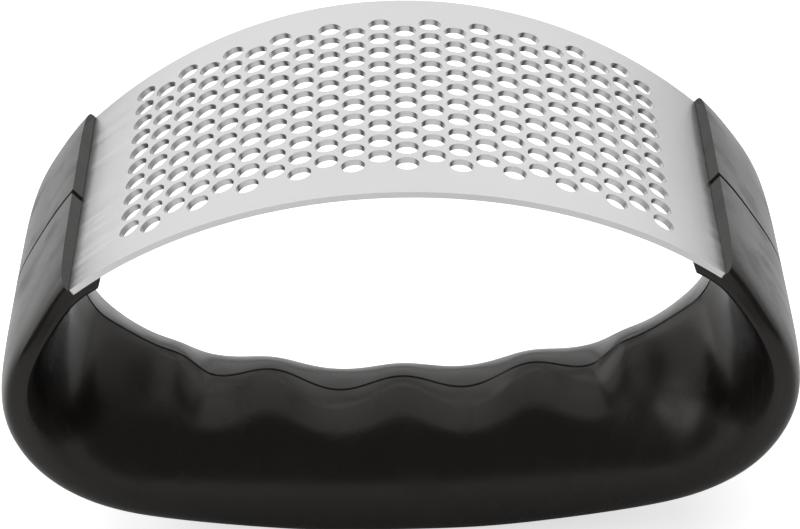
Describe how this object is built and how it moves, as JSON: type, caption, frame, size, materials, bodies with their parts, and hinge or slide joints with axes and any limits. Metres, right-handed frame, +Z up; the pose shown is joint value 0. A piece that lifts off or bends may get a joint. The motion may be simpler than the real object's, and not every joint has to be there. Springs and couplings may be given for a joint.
{
  "type": "garlic press",
  "caption": "Rocking garlic press: arched perforated steel plate held at both ends in a moulded two-part loop handle with finger grooves.",
  "frame": {"origin": "centre of the bounding box in plan, on the flat of the grip that the press stands on", "axes": "+X along the handle's length, +Y from the front handle half to the back half, +Z up through the arched plate"},
  "size_m": [0.1272, 0.0624, 0.0771],
  "materials": {
    "plate_steel": "satin stainless sheet, fine grain along the arch",
    "handle_plastic": "glossy black moulded plastic with light handling marks",
    "screw_steel": "bright zinc plated"
  },
  "bodies": {
    "root": {"perforated_plate": "plate_steel", "front_handle_shell": "handle_plastic", "back_handle_shell": "handle_plastic", "handle_screws": "screw_steel"}
  },
  "joints": []
}
